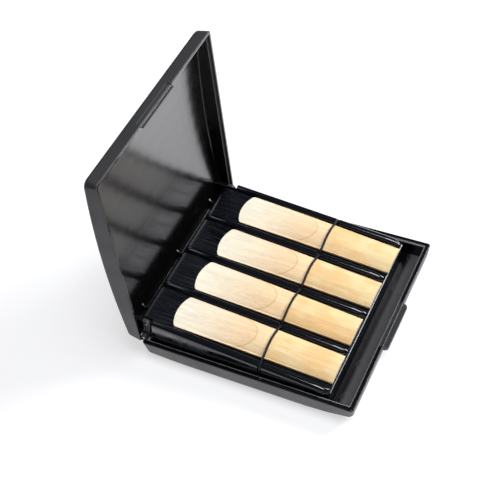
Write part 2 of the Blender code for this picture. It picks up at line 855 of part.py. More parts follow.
def cord_route():
    """The closed loop: over the rails and reeds, down both sides, and back under the plate."""
    side = cord_side_x()
    route = []
    for slot in range(slot_count):
        x_rail = slot_centre(slot) - slot_pitch / 2
        if slot:
            route += [(x_rail - cord_dip_half, cord_dip), (x_rail + cord_dip_half, cord_dip)]
        route += cord_over_reed(slot)
    top_bend = cord_edge_height - cord_bend * math.sin(cord_bend_angle)
    low_bend = cord_bend - cord_run_depth
    corner = []
    for k in range(cord_bend_steps + 1):
        a = cord_bend_angle * (1 - k / cord_bend_steps)
        corner.append((side - cord_bend * (1 - math.cos(a)), top_bend + cord_bend * math.sin(a)))
    for k in range(cord_bend_steps + 1):
        a = math.pi / 2 * k / cord_bend_steps
        corner.append((side - cord_bend * (1 - math.cos(a)), low_bend - cord_bend * math.sin(a)))
    run = side - cord_bend
    under = [(run * share, -cord_run_depth) for share in under_shares]
    left = [(-x, z) for x, z in reversed(corner)]
    return route + corner + under + left


def smooth_loop(points, step):
    """Closed curve through the points, read off at even steps."""
    dense = []
    count = len(points)
    for k in range(count):
        p0, p1, p2, p3 = (Vector(points[(k + n) % count]) for n in (-1, 0, 1, 2))
        for n in range(loop_steps):
            t = n / loop_steps
            bend = (2 * p0 - 5 * p1 + 4 * p2 - p3) * t ** 2 + (3 * p1 - p0 - 3 * p2 + p3) * t ** 3
            dense.append((2 * p1 + (p2 - p0) * t + bend) / 2)
    lengths = [(dense[(k + 1) % len(dense)] - dense[k]).length for k in range(len(dense))]
    total = sum(lengths)
    steps = int(total / step)
    result, travelled, k = [], 0.0, 0
    for n in range(steps):
        goal = total * n / steps
        while travelled + lengths[k] < goal:
            travelled += lengths[k]
            k += 1
        share = (goal - travelled) / lengths[k]
        result.append(dense[k].lerp(dense[(k + 1) % len(dense)], share))
    return result


def make_cord(finish, holder):
    points = smooth_loop(cord_route(), cord_step)
    curve = bpy.data.curves.new("elastic_cord", "CURVE")
    curve.dimensions = "3D"
    curve.bevel_depth = cord_radius
    curve.bevel_resolution = 2
    curve.use_fill_caps = True
    spline = curve.splines.new("POLY")
    spline.points.add(len(points) - 1)
    spline.use_cyclic_u = True
    for point, (x, z) in zip(spline.points, points):
        point.co = (x, cord_y, z + pivot_depth, 1.0)
        in_knot = z < -tray_plate and abs(x) < knot_length / 2
        point.radius = knot_share if in_knot else 1.0
    add_object("elastic_cord", curve, finish, holder)


def build():
    clear_scene()
    shell_black = plastic("moulded_shell", (0.030, 0.030, 0.032), 0.5)
    tray_black = plastic("glossy_tray", (0.006, 0.007, 0.010), 0.12)
    cane = plastic("cane", (0.80, 0.62, 0.36), 0.6)
    elastic = plastic("elastic", (0.05, 0.06, 0.10), 0.7)
    steel = plastic("pin_steel", (0.55, 0.56, 0.58), 0.3, 1.0)

    make_base(shell_black)
    lid_holder = frame("lid_frame", axis_point, -open_angle)
    make_lid(shell_black, lid_holder)
    make_hinge_pins(steel)
    tray_holder = frame("tray_frame", open_pivot, tray_tilt())
    make_tray(tray_black, tray_holder)
    make_tray_pins(steel, tray_holder)
    make_reeds(cane, tray_holder)
    make_cord(elastic, tray_holder)


build()
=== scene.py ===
import math

import bmesh
import bpy
from mathutils import Matrix, Vector


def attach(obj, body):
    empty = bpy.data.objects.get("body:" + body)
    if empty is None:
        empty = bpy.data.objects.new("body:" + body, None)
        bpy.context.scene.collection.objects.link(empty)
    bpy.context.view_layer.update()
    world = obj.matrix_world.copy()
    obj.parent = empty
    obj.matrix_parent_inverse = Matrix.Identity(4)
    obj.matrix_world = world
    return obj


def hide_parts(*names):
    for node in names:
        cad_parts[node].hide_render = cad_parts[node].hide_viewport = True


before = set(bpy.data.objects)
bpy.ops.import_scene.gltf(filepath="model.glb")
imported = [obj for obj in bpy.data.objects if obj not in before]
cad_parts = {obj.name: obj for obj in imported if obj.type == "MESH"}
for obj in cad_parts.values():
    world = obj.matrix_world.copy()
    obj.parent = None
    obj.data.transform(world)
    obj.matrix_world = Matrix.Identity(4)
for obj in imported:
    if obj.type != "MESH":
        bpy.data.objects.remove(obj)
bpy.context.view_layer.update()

mm = 0.001
plainWhite = (1.0, 1.0, 1.0, 1.0)

# Places and sizes of the frame, repeated from the CAD, in metres
hingeAxis = Vector((0.0, 47.75, 11.15)) * mm
trayPivot = Vector((0.0, 46.1855, 18.8093)) * mm
lidOpen = math.radians(88.4)
trayTilt = math.radians(6.22759)
slotCount = 4
slotPitch = 20.3 * mm
# the next three are measured from the tray's pivot
trayFront = -83.4 * mm
cordAlong = -52.3 * mm
slotFloor = 1.6 * mm

lidTurn = Matrix.Rotation(-lidOpen, 4, "X")
lidPlace = Matrix.Translation(hingeAxis) @ lidTurn @ Matrix.Translation(-hingeAxis)
trayPlace = Matrix.Translation(trayPivot) @ Matrix.Rotation(trayTilt, 4, "X")
basePlace = Matrix.Identity(4)


def slotMiddle(slot):
    return (slot + 0.5 - slotCount / 2) * slotPitch


def railMiddle(rail):
    return (rail - slotCount / 2) * slotPitch


def srgb(hexText):
    # sRGB hex to the linear values that the sockets take
    parts = [int(hexText[k:k + 2], 16) / 255 for k in (1, 3, 5)]
    return tuple(p / 12.92 if p <= 0.04045 else ((p + 0.055) / 1.055) ** 2.4 for p in parts) + (1.0,)


def addNode(tree, kind, settings=None, links=None):
    # one node: settings are its properties and input values, links its incoming sockets
    node = tree.nodes.new("ShaderNode" + kind)
    for name, value in (settings or {}).items():
        if isinstance(name, str) and hasattr(node, name):
            setattr(node, name, value)
        else:
            node.inputs[name].default_value = value
    for name, socket in (links or {}).items():
        tree.links.new(socket, node.inputs[name])
    return node


def addMixed(tree, kind, settings, inputs):
    # a node whose inputs may each be a socket or a fixed value
    isSocket = {index: isinstance(value, bpy.types.NodeSocket) for index, value in inputs.items()}
    fixed = {index: value for index, value in inputs.items() if not isSocket[index]}
    links = {index: value for index, value in inputs.items() if isSocket[index]}
    return addNode(tree, kind, {**settings, **fixed}, links)


def maths(tree, operation, first, second=0.0):
    return addMixed(tree, "Math", {"operation": operation}, {0: first, 1: second}).outputs[0]


def mixNumber(tree, share, first, second):
    return addMixed(tree, "Mix", {"data_type": "FLOAT"}, {0: share, 2: first, 3: second}).outputs[0]


def mixColour(tree, share, first, second):
    return addMixed(tree, "Mix", {"data_type": "RGBA"}, {0: share, 6: first, 7: second}).outputs[2]


def mixShaders(tree, share, first, second):
    return addNode(tree, "MixShader", links={0: share, 1: first.outputs[0], 2: second.outputs[0]})


def fade(tree, value, start, end, low=0.0, high=1.0):
    # smooth step from low to high between two values
    settings = {"interpolation_type": "SMOOTHSTEP", 1: start, 2: end, 3: low, 4: high}
    return addNode(tree, "MapRange", settings, {0: value}).outputs[0]


def noise(tree, place, sizes, detail=2.0, roughness=0.5, shift=(0.0, 0.0, 0.0)):
    # noise with lumps of these sizes along the three axes
    scale = [1 / size for size in sizes]
    moved = addNode(tree, "Mapping", {"Location": shift, "Scale": scale}, {"Vector": place}).outputs[0]
    return addNode(tree, "TexNoise", {"Scale": 1.0, "Detail": detail, "Roughness": roughness},
                   {"Vector": moved}).outputs[0]


def relief(tree, height, strength, depth, rounded=None):
    # small surface relief, on top of rounded edges where there are any
    links = {"Height": height}
    if rounded:
        links["Normal"] = rounded
    return addNode(tree, "Bump", {"Strength": strength, "Distance": depth}, links).outputs[0]


def newMaterial(name):
    material = bpy.data.materials.new(name)
    material.use_nodes = True
    tree = material.node_tree
    tree.nodes.clear()
    return material, tree


def closeMaterial(tree, shader):
    addNode(tree, "OutputMaterial", links={"Surface": shader.outputs[0]})


def objectPlace(tree):
    return addNode(tree, "TexCoord").outputs["Object"]


def ownPlace(tree, toWorld):
    # object coordinates turned into a piece's own frame, so a pattern follows the piece
    back = toWorld.inverted()
    settings = {"vector_type": "POINT", "Location": back.translation, "Rotation": back.to_euler()}
    return addNode(tree, "Mapping", settings, {"Vector": objectPlace(tree)}).outputs["Vector"]


def dress(nodeName, material):
    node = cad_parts[nodeName]
    node.data.materials.clear()
    node.data.materials.append(material)


def addObject(name, data):
    piece = bpy.data.objects.new(name, data)
    bpy.context.scene.collection.objects.link(piece)
    return piece


def selectOnly(piece):
    bpy.ops.object.select_all(action="DESELECT")
    piece.select_set(True)
    bpy.context.view_layer.objects.active = piece


def turnNormalsOut():
    # on the active object
    bpy.ops.object.mode_set(mode="EDIT")
    bpy.ops.mesh.select_all(action="SELECT")
    bpy.ops.mesh.normals_make_consistent(inside=False)
    bpy.ops.object.mode_set(mode="OBJECT")


# Camera
cameraValues = {
    "lookAt": Vector((15.83, 25.92, 11.0)) * mm,
    "back": Vector((-0.5473, -0.3577, 0.7567)).normalized(),
    "distance": 486.69 * mm,
    "roll": math.radians(-10.36),
    "focal": 78.83,
    "sensor": 36,
    "clipStart": 0.01,
}


def makeCamera(values):
    data = bpy.data.cameras.new("camera")
    data.sensor_width = values["sensor"]
    data.lens = values["focal"]
    data.clip_start = values["clipStart"]
    camera = addObject("camera", data)
    back = values["back"]
    right = Vector((0, 0, 1)).cross(back).normalized()
    level = Matrix((right, back.cross(right), back)).transposed()
    turned = level @ Matrix.Rotation(values["roll"], 3, "Z")
    place = values["lookAt"] + back * values["distance"]
    camera.matrix_world = Matrix.Translation(place) @ turned.to_4x4()
    bpy.context.scene.camera = camera


makeCamera(cameraValues)
bpy.context.scene.view_settings.view_transform = "Standard"
print("camera placed")


# Floor, backdrop and lamps: a white table with a soft box at the right in front and one overhead. The
# room around is dark, so glossy tops stay black. All lengths here are in metres.
studio = {
    "floorSize": 6.0,
    "floorColour": "#f6f6f6",
    "seenColour": "#bebebe",
    "seenGlow": 0.62,
    "seenWhite": (0.4, 1.2),      # the table as seen goes plain white between these distances
    "mirrorGlow": 1.15,
    "mirrorReach": (0.315, 0.45),  # how far out mirrors show it lit
    "shadeGlow": 0.35,            # in mirrors, on the side where the lid's shadow falls
    "shadeX": (-0.09, -0.03),
    "skyStrength": 0.10,
    "skyColour": "#f2f4ff",
    "lamps": {
        "softBox": {"place": Vector((0.60, -0.52, 0.62)), "size": 0.42, "power": 8.8, "colour": "#f8f9ff"},
        "topBox": {"place": Vector((-0.05, -0.18, 0.98)), "size": 0.42, "power": 5.9, "colour": "#f8f9ff"},
    },
}


def addLamp(name, values):
    data = bpy.data.lights.new(name, "AREA")
    data.shape = "SQUARE"
    data.size = values["size"]
    data.energy = values["power"]
    data.color = srgb(values["colour"])[:3]
    lamp = addObject(name, data)
    lamp.location = values["place"]
    lamp.rotation_euler = (-values["place"]).to_track_quat("-Z", "Y").to_euler()


def makeTableMaterial(values):
    # three answers: what the camera sees, what lights the object, and what the object mirrors
    material, tree = newMaterial("whiteTable")
    place = objectPlace(tree)
    across = addNode(tree, "SeparateXYZ", links={0: place}).outputs[0]
    reach = addNode(tree, "VectorMath", {"operation": "LENGTH"}, {0: place}).outputs["Value"]
    plain = addNode(tree, "BsdfDiffuse", {"Color": srgb(values["floorColour"])})
    shaded = addNode(tree, "BsdfDiffuse", {"Color": srgb(values["seenColour"])})
    seenGlow = fade(tree, reach, *values["seenWhite"], values["seenGlow"], 1.0)
    glow = addNode(tree, "Emission", {"Color": plainWhite}, {"Strength": seenGlow})
    seen = addNode(tree, "AddShader", links={0: shaded.outputs[0], 1: glow.outputs[0]})
    mirrorGlow = fade(tree, across, *values["shadeX"], values["shadeGlow"], values["mirrorGlow"])
    lift = addNode(tree, "Emission", {"Color": plainWhite}, {"Strength": mirrorGlow})
    bright = addNode(tree, "AddShader", links={0: plain.outputs[0], 1: lift.outputs[0]})
    dark = addNode(tree, "Emission", {"Color": plainWhite, "Strength": values["skyStrength"]})
    near = fade(tree, reach, *values["mirrorReach"], 1.0, 0.0)
    path = addNode(tree, "LightPath")
    mirrored = maths(tree, "MAXIMUM", path.outputs["Is Glossy Ray"], path.outputs["Is Transmission Ray"])
    direct = mixShaders(tree, path.outputs["Is Camera Ray"], plain, seen)
    closeMaterial(tree, mixShaders(tree, mirrored, direct, mixShaders(tree, near, dark, bright)))
    return material


def makeStudio(values):
    bpy.ops.object.select_all(action="DESELECT")
    bpy.ops.mesh.primitive_plane_add(size=values["floorSize"], location=(0, 0, 0))
    floor = bpy.context.object
    floor.name = "floor"
    floor.data.materials.append(makeTableMaterial(values))

    world = bpy.data.worlds.new("darkRoom")
    bpy.context.scene.world = world
    world.use_nodes = True
    tree = world.node_tree
    tree.nodes.clear()
    sky = {"Color": srgb(values["skyColour"]), "Strength": values["skyStrength"]}
    ambient = addNode(tree, "Background", sky)
    white = addNode(tree, "Background", {"Color": plainWhite, "Strength": 1.0})
    choice = mixShaders(tree, addNode(tree, "LightPath").outputs["Is Camera Ray"], ambient, white)
    addNode(tree, "OutputWorld", links={"Surface": choice.outputs[0]})

    for name, lampValues in values["lamps"].items():
        addLamp(name, lampValues)


makeStudio(studio)
print("studio ready")


# Shells: black ABS, injection moulded. Outside and on the floor the mould was spark eroded, which leaves
# a fine satin grain and a greyer black. Inside the walls and on both rims it was polished, so those faces
# go black or show blurred reflections.
shellFinish = {
    "grainColour": "#282829",
    "grainLight": "#313132",
    "polishedColour": "#0a0a0b",
    "ior": 1.55,
    "grain": 0.30 * mm,           # real grain is about 0.08 mm, drawn coarser to show
    "grainHeight": 0.008 * mm,
    "grainStrength": 0.8,
    "cloud": 14 * mm,
    "streaks": (0.5 * mm, 24 * mm, 24 * mm),
    "noiseRange": (0.3, 0.7),
    "grainRoughness": (0.52, 0.59),
    "insideRoughness": (0.16, 0.22),
    "rimRoughness": 0.10,
    "rimBand": (0.06 * mm, 0.12 * mm),
    "insideX": 43.32 * mm,
    "insideY": 45.32 * mm,
    "insideSoft": 0.1 * mm,
    "looksUp": (0.3, 0.5),
    "edgeRound": 0.35 * mm,
    "edgeSamples": 6,
}
# Each shell's rim height, and the zone inside its walls that has no grain
baseZones = {"material": "mouldedBlackAbsBase", "place": basePlace, "rim": 11.0 * mm,
             "polished": (3.5 * mm, 10.3 * mm)}
lidZones = {"material": "mouldedBlackAbsLid", "place": lidPlace, "rim": 11.3 * mm,
            "polished": (11.4 * mm, 19.35 * mm)}
# What the base alone has: a floor painted lighter to stand for light on it, ejector rings, a band of
# painted shade in front of the tray's foot, and a painted highlight line inside the rim
baseMarks = {
    "floorZ": (3.0 * mm, 3.4 * mm),
    # painted light: how much lighter the base floor is painted than the same grain elsewhere
    "floorPaintedLight": 2.2,
    # light colour for the painted highlight line inside the rim, and for the ejector rings' witness marks
    "ringAndHighlightColour": "#828283",
    "highlightX": 44.0 * mm,
    "highlightY": 46.0 * mm,
    "highlightZ": (10.44 * mm, 10.92 * mm),
    "highlightSoft": 0.04 * mm,
    "ejectorX": (41.4 * mm, 23.5 * mm, -18.9 * mm, -35.7 * mm),
    "ejectorY": -40.4 * mm,
    "ejectorRadius": 2.1 * mm,
    "ejectorLine": 0.22 * mm,
    "ejectorShare": 0.2,
    # painted shade in front of the tray's foot: where it lies, its roughness and its specular level
    "shadeBandY": (-40.8 * mm, -38.2 * mm),
    "shadeBandZ": (3.4 * mm, 3.6 * mm),
    "shadeBandRoughness": 0.22,
    "shadeBandSheen": (0.5, 0.16),   # specular level beside the band and on it
}


def boxMask(tree, place, halfX, halfY, zLow, zHigh, soft):
    # 1 inside the box, 0 outside it
    split = addNode(tree, "SeparateXYZ", links={0: place})
    x = fade(tree, maths(tree, "ABSOLUTE", split.outputs[0]), halfX, halfX + soft, 1.0, 0.0)
    y = fade(tree, maths(tree, "ABSOLUTE", split.outputs[1]), halfY, halfY + soft, 1.0, 0.0)
    low = fade(tree, split.outputs[2], zLow - soft, zLow)
    high = fade(tree, split.outputs[2], zHigh, zHigh + soft, 1.0, 0.0)
    return maths(tree, "MULTIPLY", maths(tree, "MULTIPLY", x, y), maths(tree, "MULTIPLY", low, high))


def distance(tree, x, y):
    squares = maths(tree, "ADD", maths(tree, "MULTIPLY", x, x), maths(tree, "MULTIPLY", y, y))
    return maths(tree, "SQRT", squares)


def ejectorRings(tree, split, marks):
    # faint round witness marks that the mould's ejector pins leave on the base floor
    rings = 0.0
    y = maths(tree, "SUBTRACT", split.outputs[1], marks["ejectorY"])
    for centre in marks["ejectorX"]:
        reach = distance(tree, maths(tree, "SUBTRACT", split.outputs[0], centre), y)
        off = maths(tree, "ABSOLUTE", maths(tree, "SUBTRACT", reach, marks["ejectorRadius"]))
        rings = maths(tree, "ADD", fade(tree, off, 0.0, marks["ejectorLine"], 1.0, 0.0), rings)
    return rings


def paintedShadeBand(tree, split, marks):
    # painted shade: the floor in front of the tray's foot is painted the polished black with less specular
    # level, standing for the tray's shade there
    front = fade(tree, split.outputs[1], *marks["shadeBandY"])
    floor = fade(tree, split.outputs[2], *marks["shadeBandZ"], 1.0, 0.0)
    return maths(tree, "MULTIPLY", front, floor)


def makeShellMaterial(zones, values, marks=None):
    material, tree = newMaterial(zones["material"])
    place = ownPlace(tree, zones["place"])
    split = addNode(tree, "SeparateXYZ", links={0: place})
    offRim = maths(tree, "ABSOLUTE", maths(tree, "SUBTRACT", split.outputs[2], zones["rim"]))
    onRim = fade(tree, offRim, *values["rimBand"], 1.0, 0.0)
    walls = (values["insideX"], values["insideY"])
    inside = boxMask(tree, place, *walls, *zones["polished"], values["insideSoft"])
    # the dome's outer face reaches down into that zone, so faces that look up are left out
    up = zones["place"].to_3x3() @ Vector((0, 0, 1))
    rise = addNode(tree, "VectorMath", {"operation": "DOT_PRODUCT", 1: up},
                   {0: addNode(tree, "TexCoord").outputs["Normal"]}).outputs["Value"]
    inside = maths(tree, "MULTIPLY", inside, fade(tree, rise, *values["looksUp"], 1.0, 0.0))
    smoothFace = maths(tree, "MAXIMUM", inside, onRim)

    grain = noise(tree, place, (values["grain"],) * 3, roughness=0.6)
    streaks = noise(tree, place, values["streaks"], detail=3.0, roughness=0.7)
    cloud = noise(tree, place, (values["cloud"],) * 3)
    smooth = fade(tree, streaks, *values["noiseRange"], *values["insideRoughness"])
    rough = fade(tree, cloud, *values["noiseRange"], *values["grainRoughness"])
    polished = srgb(values["polishedColour"])
    colour = mixColour(tree, fade(tree, grain, *values["noiseRange"]), srgb(values["grainColour"]),
                       srgb(values["grainLight"]))
    if marks:
        onFloor = boxMask(tree, place, *walls, *marks["floorZ"], values["insideSoft"])
        # painted highlight: a thin light line just inside the base's rim; the ejector rings share its
        # colour
        onHighlight = boxMask(tree, place, marks["highlightX"], marks["highlightY"], *marks["highlightZ"], marks["highlightSoft"])
        rings = maths(tree, "MULTIPLY", ejectorRings(tree, split, marks), marks["ejectorShare"])
        # painted shade: a dark band on the floor in front of the tray's foot
        paintedShade = paintedShadeBand(tree, split, marks)
        rough = mixNumber(tree, paintedShade, rough, marks["shadeBandRoughness"])
        # painted light: the base floor is painted lighter, standing for light on it
        paintedLight = addNode(tree, "VectorMath", {"operation": "SCALE", 3: marks["floorPaintedLight"]}, {0: colour})
        colour = mixColour(tree, onFloor, colour, paintedLight.outputs[0])
        colour = mixColour(tree, paintedShade, colour, polished)
        for share in (rings, onHighlight):
            colour = mixColour(tree, share, colour, srgb(marks["ringAndHighlightColour"]))
    colour = mixColour(tree, smoothFace, colour, polished)
    roughness = mixNumber(tree, onRim, mixNumber(tree, inside, rough, smooth), values["rimRoughness"])

    height = maths(tree, "MULTIPLY", grain, maths(tree, "SUBTRACT", 1.0, smoothFace))
    rounded = addNode(tree, "Bevel", {"samples": values["edgeSamples"], "Radius": values["edgeRound"]})
    normal = relief(tree, height, values["grainStrength"], values["grainHeight"], rounded.outputs[0])
    shader = addNode(tree, "BsdfPrincipled", {"IOR": values["ior"]},
                     {"Base Color": colour, "Roughness": roughness, "Normal": normal})
    if marks:
        # the painted shade band also lowers the specular level, so it stays dark
        sheen = fade(tree, paintedShade, 0.0, 1.0, *marks["shadeBandSheen"])
        tree.links.new(sheen, shader.inputs["Specular IOR Level"])
    closeMaterial(tree, shader)
    return material


dress("base_shell", makeShellMaterial(baseZones, shellFinish, baseMarks))
dress("lid_shell", makeShellMaterial(lidZones, shellFinish))
print("shells finished")


# Tray: black polystyrene from a polished mould, a gloss with a slightly blue depth. The slot floors
# are scuffed lengthwise by reeds sliding in and out.
trayFinish = {
    "colour": "#070a10",
    "ior": 1.59,
    "roughness": (0.09, 0.33),    # polished, and fully scuffed
    "scuffs": (0.35 * mm, 18 * mm, 1.0),
    "scuffRange": (0.35, 0.65),
    "scuffRise": (0.35 * mm, 0.6 * mm),
    "edgeRound": 0.14 * mm,
    "edgeSamples": 4,
}


def makeTrayMaterial(values):
    material, tree = newMaterial("polishedBlackPolystyrene")
    place = ownPlace(tree, trayPlace)
    split = addNode(tree, "SeparateXYZ", links={0: place})
    scuffs = noise(tree, place, values["scuffs"], detail=3.0, roughness=0.65)
    low, high = values["scuffRise"]
    onFloor = fade(tree, split.outputs[2], slotFloor + low, slotFloor + high, 1.0, 0.0)
    scuffed = maths(tree, "MULTIPLY", fade(tree, scuffs, *values["scuffRange"]), onFloor)
    roughness = fade(tree, scuffed, 0.0, 1.0, *values["roughness"])
    rounded = addNode(tree, "Bevel", {"samples": values["edgeSamples"], "Radius": values["edgeRound"]})
    shader = addNode(tree, "BsdfPrincipled", {"Base Color": srgb(values["colour"]), "IOR": values["ior"]},
                     {"Roughness": roughness, "Normal": rounded.outputs[0]})
    closeMaterial(tree, shader)
    return material


# The tray's body repeats the solid's sizes with finer steps, so its rails and noses are truly round.
trayShape = {
    "half": 42.45 * mm,
    "back": 2.9 * mm,
    "height": 8.0 * mm,
    "plate": 1.5 * mm,
    "skirt": 2.2 * mm,
    "frontWall": 1.5 * mm,
    "frontRound": 1.0 * mm,
    "corner": 3.5 * mm,
    "endWall": 1.2 * mm,
    "endDepth": 4.0 * mm,
    "endRound": 1.8 * mm,
    "railEnd": 2.2 * mm,
    "railRadius": 1.8 * mm,
    "railMargin": 0.05 * mm,
    "noseStart": 0.8 * mm,
    "noseLength": 7.5 * mm,
    "noseShare": 0.15,
    "nosePower": 1.5,             # crowds the slices towards the nose's tip
    "skirtRamp": 5.0 * mm,
    "ribX": (-6.3 * mm, 0.0, 6.3 * mm),
    "ribWidth": 0.5 * mm,
    "ribHeight": 0.3 * mm,
    "ribDraft": 0.1 * mm,
    "ribFront": 2.0 * mm,
    "railSteps": 24,
    "noseSteps": 26,
    "roundSteps": 6,
    "endSteps": 6,
    "step": 0.05 * mm,
    "smoothAngle": math.radians(32),
    # cuts: ear notches, cord grooves, cord holes and slots, pin bores
    "notchX": 39.4 * mm,
    "notchY": -3.3 * mm,
    "bossX": 36.4 * mm,
    "bossY": -2.2 * mm,
    "bossZ": (-2.0 * mm, 0.85 * mm),
    "cordHalf": 0.85 * mm,
    "grooveX": 40.75 * mm,
    "grooveZ": -3.8 * mm,
    "holeX": 39.25 * mm,
    "holeZ": (-4.6 * mm, -1.1 * mm),
    "boreX": 36.7 * mm,
    "boreRadius": 1.0 * mm,
    "boreSides": 32,
    "past": 1.0 * mm,
}


def traySlice(along, top, railWidth, railHeight, under, sole, ribShare, values):
    # one cross section as (x, height above the slot floor), rails and ribs above, open box below
    past = max(0.0, values["corner"] - along)
    half = values["half"] - values["corner"] + math.sqrt(values["corner"] ** 2 - past ** 2)
    reach = half - values["railMargin"] - values["railRadius"]
    foot = values["ribWidth"] / 2
    crest = foot - values["ribDraft"]
    rise = top + values["ribHeight"] * ribShare
    points = [(-half, -sole), (-half, top)]
    for rail in range(slotCount + 1):
        centre = min(max(railMiddle(rail), -reach), reach)
        for k in range(values["railSteps"] + 1):
            a = math.pi * (1 - k / values["railSteps"])
            points.append((centre + railWidth * values["railRadius"] * math.cos(a),
                           top + railHeight * values["railRadius"] * math.sin(a)))
        if rail < slotCount:
            for x in values["ribX"]:
                middle = slotMiddle(rail) + x
                points += [(middle - foot, top), (middle - crest, rise)]
                points += [(middle + crest, rise), (middle + foot, top)]
    inner = half - values["skirt"]
    points += [(half, top), (half, -sole), (inner, -sole)]
    return points + [(inner, -under), (-inner, -under), (-inner, -sole)]


def traySlices(values):
    # stations from the front edge to the rounded hinge end
    length = values["back"] - trayFront
    solid = values["height"] - 2 * values["step"]
    rows = []

    def add(along, top, under, sole, ribShare):
        share = min(max((along - values["noseStart"]) / values["noseLength"], 0.0), 1.0)
        rise = math.sqrt(1 - (1 - share) ** 2)
        width = values["noseShare"] + (1 - values["noseShare"]) * rise
        rows.append((along, traySlice(along, top, width, rise, under, sole, ribShare, values)))

    for k in range(values["roundSteps"] + 1):
        a = math.pi / 2 * k / values["roundSteps"]
        top = -values["frontRound"] * (1 - math.sin(a))
        add(values["frontRound"] * (1 - math.cos(a)), top, solid, values["height"], 0.0)
    add(values["frontWall"], 0.0, solid, values["height"], 0.0)
    for k in range(values["noseSteps"] + 1):
        share = (k / values["noseSteps"]) ** values["nosePower"]
        along = values["frontWall"] + values["step"] + values["noseLength"] * share
        add(along, 0.0, values["plate"], values["height"], 1.0 if along > values["ribFront"] else 0.0)
    rampStart = length - values["skirtRamp"] - values["back"]
    add(rampStart, 0.0, values["plate"], values["height"], 1.0)

    slope = (values["height"] - values["endDepth"]) / (length - rampStart - values["endWall"])
    roundStart = length - values["railEnd"] - values["endRound"]
    fall = length - values["endWall"] - values["step"]
    for along, rib in ((roundStart, 1.0), (roundStart + values["step"], 0.0)):
        sole = values["height"] - slope * (along - rampStart)
        rows.append((along, traySlice(along, 0.0, 1.0, 1.0, values["plate"], sole, rib, values)))
    for k in range(1, values["endSteps"] + 1):
        # the rails and the plate roll over the hinge end
        along = roundStart + (length - roundStart) * k / values["endSteps"]
        past = max(0.0, values["endRound"] - (length - along))
        top = math.sqrt(values["endRound"] ** 2 - past ** 2) - values["endRound"]
        share = math.sqrt(1 - (k / values["endSteps"]) ** 2)
        inWall = along > fall
        under = values["endDepth"] - 2 * values["step"] if inWall else values["plate"]
        sole = values["endDepth"] if inWall else values["height"] - slope * (along - rampStart)
        rows.append((along, traySlice(along, top, 1.0, share, under, sole, 0.0, values)))
    return rows


def meshObject(name, body):
    data = bpy.data.meshes.new(name)
    body.to_mesh(data)
    body.free()
    return addObject(name, data)


def addCutter(name, boxes, rods=(), sides=0):
    # a mesh of separate boxes, and rods along X, to cut away
    body = bmesh.new()
    for low, high in boxes:
        middle = (Vector(low) + Vector(high)) / 2
        size = Vector(high) - Vector(low)
        place = Matrix.Translation(middle) @ Matrix.Diagonal((*size, 1.0))
        bmesh.ops.create_cube(body, size=1.0, matrix=place)
    for xFrom, xTo, radius in rods:
        place = Matrix.Translation(((xFrom + xTo) / 2, 0, 0)) @ Matrix.Rotation(math.pi / 2, 4, "Y")
        bmesh.ops.create_cone(body, cap_ends=True, segments=sides, radius1=radius, radius2=radius,
                              depth=xTo - xFrom, matrix=place)
    return meshObject(name, body)


def applyBoolean(target, tool, operation):
    step = target.modifiers.new(tool.name, "BOOLEAN")
    step.operation = operation
    step.solver = "EXACT"
    step.object = tool
    selectOnly(target)
    bpy.ops.object.modifier_apply(modifier=step.name)
    bpy.data.objects.remove(tool, do_unlink=True)


def bothSides(low, high):
    # the same box at +X and at -X
    return (low, high), ((-high[0], low[1], low[2]), (-low[0], high[1], high[2]))


def makeTray(values):
    body = bmesh.new()
    rings = []
    for along, points in traySlices(values):
        rings.append([body.verts.new((x, trayFront + along, z + slotFloor)) for x, z in points])
    for first, second in zip(rings, rings[1:]):
        count = len(first)
        for k in range(count):
            n = (k + 1) % count
            body.faces.new((first[k], first[n], second[n], second[k]))
    body.faces.new(rings[0])
    body.faces.new(rings[-1])
    bmesh.ops.recalc_face_normals(body, faces=body.faces)
    tray = meshObject("glossTray", body)

    past = values["past"]
    outside = values["half"] + past
    high = slotFloor + values["railRadius"] + past
    low = slotFloor - values["height"] - past
    bosses = bothSides((values["bossX"], values["bossY"], values["bossZ"][0]),
                       (values["notchX"], values["back"] - values["endWall"] / 2, values["bossZ"][1]))
    applyBoolean(tray, addCutter("bosses", bosses), "UNION")
    nearY = cordAlong - values["cordHalf"]
    farY = cordAlong + values["cordHalf"]
    notches = bothSides((values["notchX"], values["notchY"], low), (outside, values["back"] + past, high))
    grooves = bothSides((values["grooveX"], nearY, values["grooveZ"]), (outside, farY, high))
    applyBoolean(tray, addCutter("notches", notches + grooves), "DIFFERENCE")
    holeLow, holeHigh = values["holeZ"]
    holes = list(bothSides((values["holeX"], nearY, holeLow), (outside, farY, holeHigh)))
    reach = values["railRadius"] + past
    for rail in range(slotCount + 1):
        middle = railMiddle(rail)
        holes.append(((middle - reach, nearY, slotFloor), (middle + reach, farY, high)))
    bores = [(values["boreX"], values["notchX"] + past, values["boreRadius"]),
             (-values["notchX"] - past, -values["boreX"], values["boreRadius"])]
    applyBoolean(tray, addCutter("holes", holes, bores, values["boreSides"]), "DIFFERENCE")
    tray.data.transform(trayPlace)
    bpy.ops.object.shade_smooth_by_angle(angle=values["smoothAngle"])
    return tray


tray = makeTray(trayShape)
tray.data.materials.append(makeTrayMaterial(trayFinish))
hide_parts("reed_tray")
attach(tray, "tray")
print("tray finished")


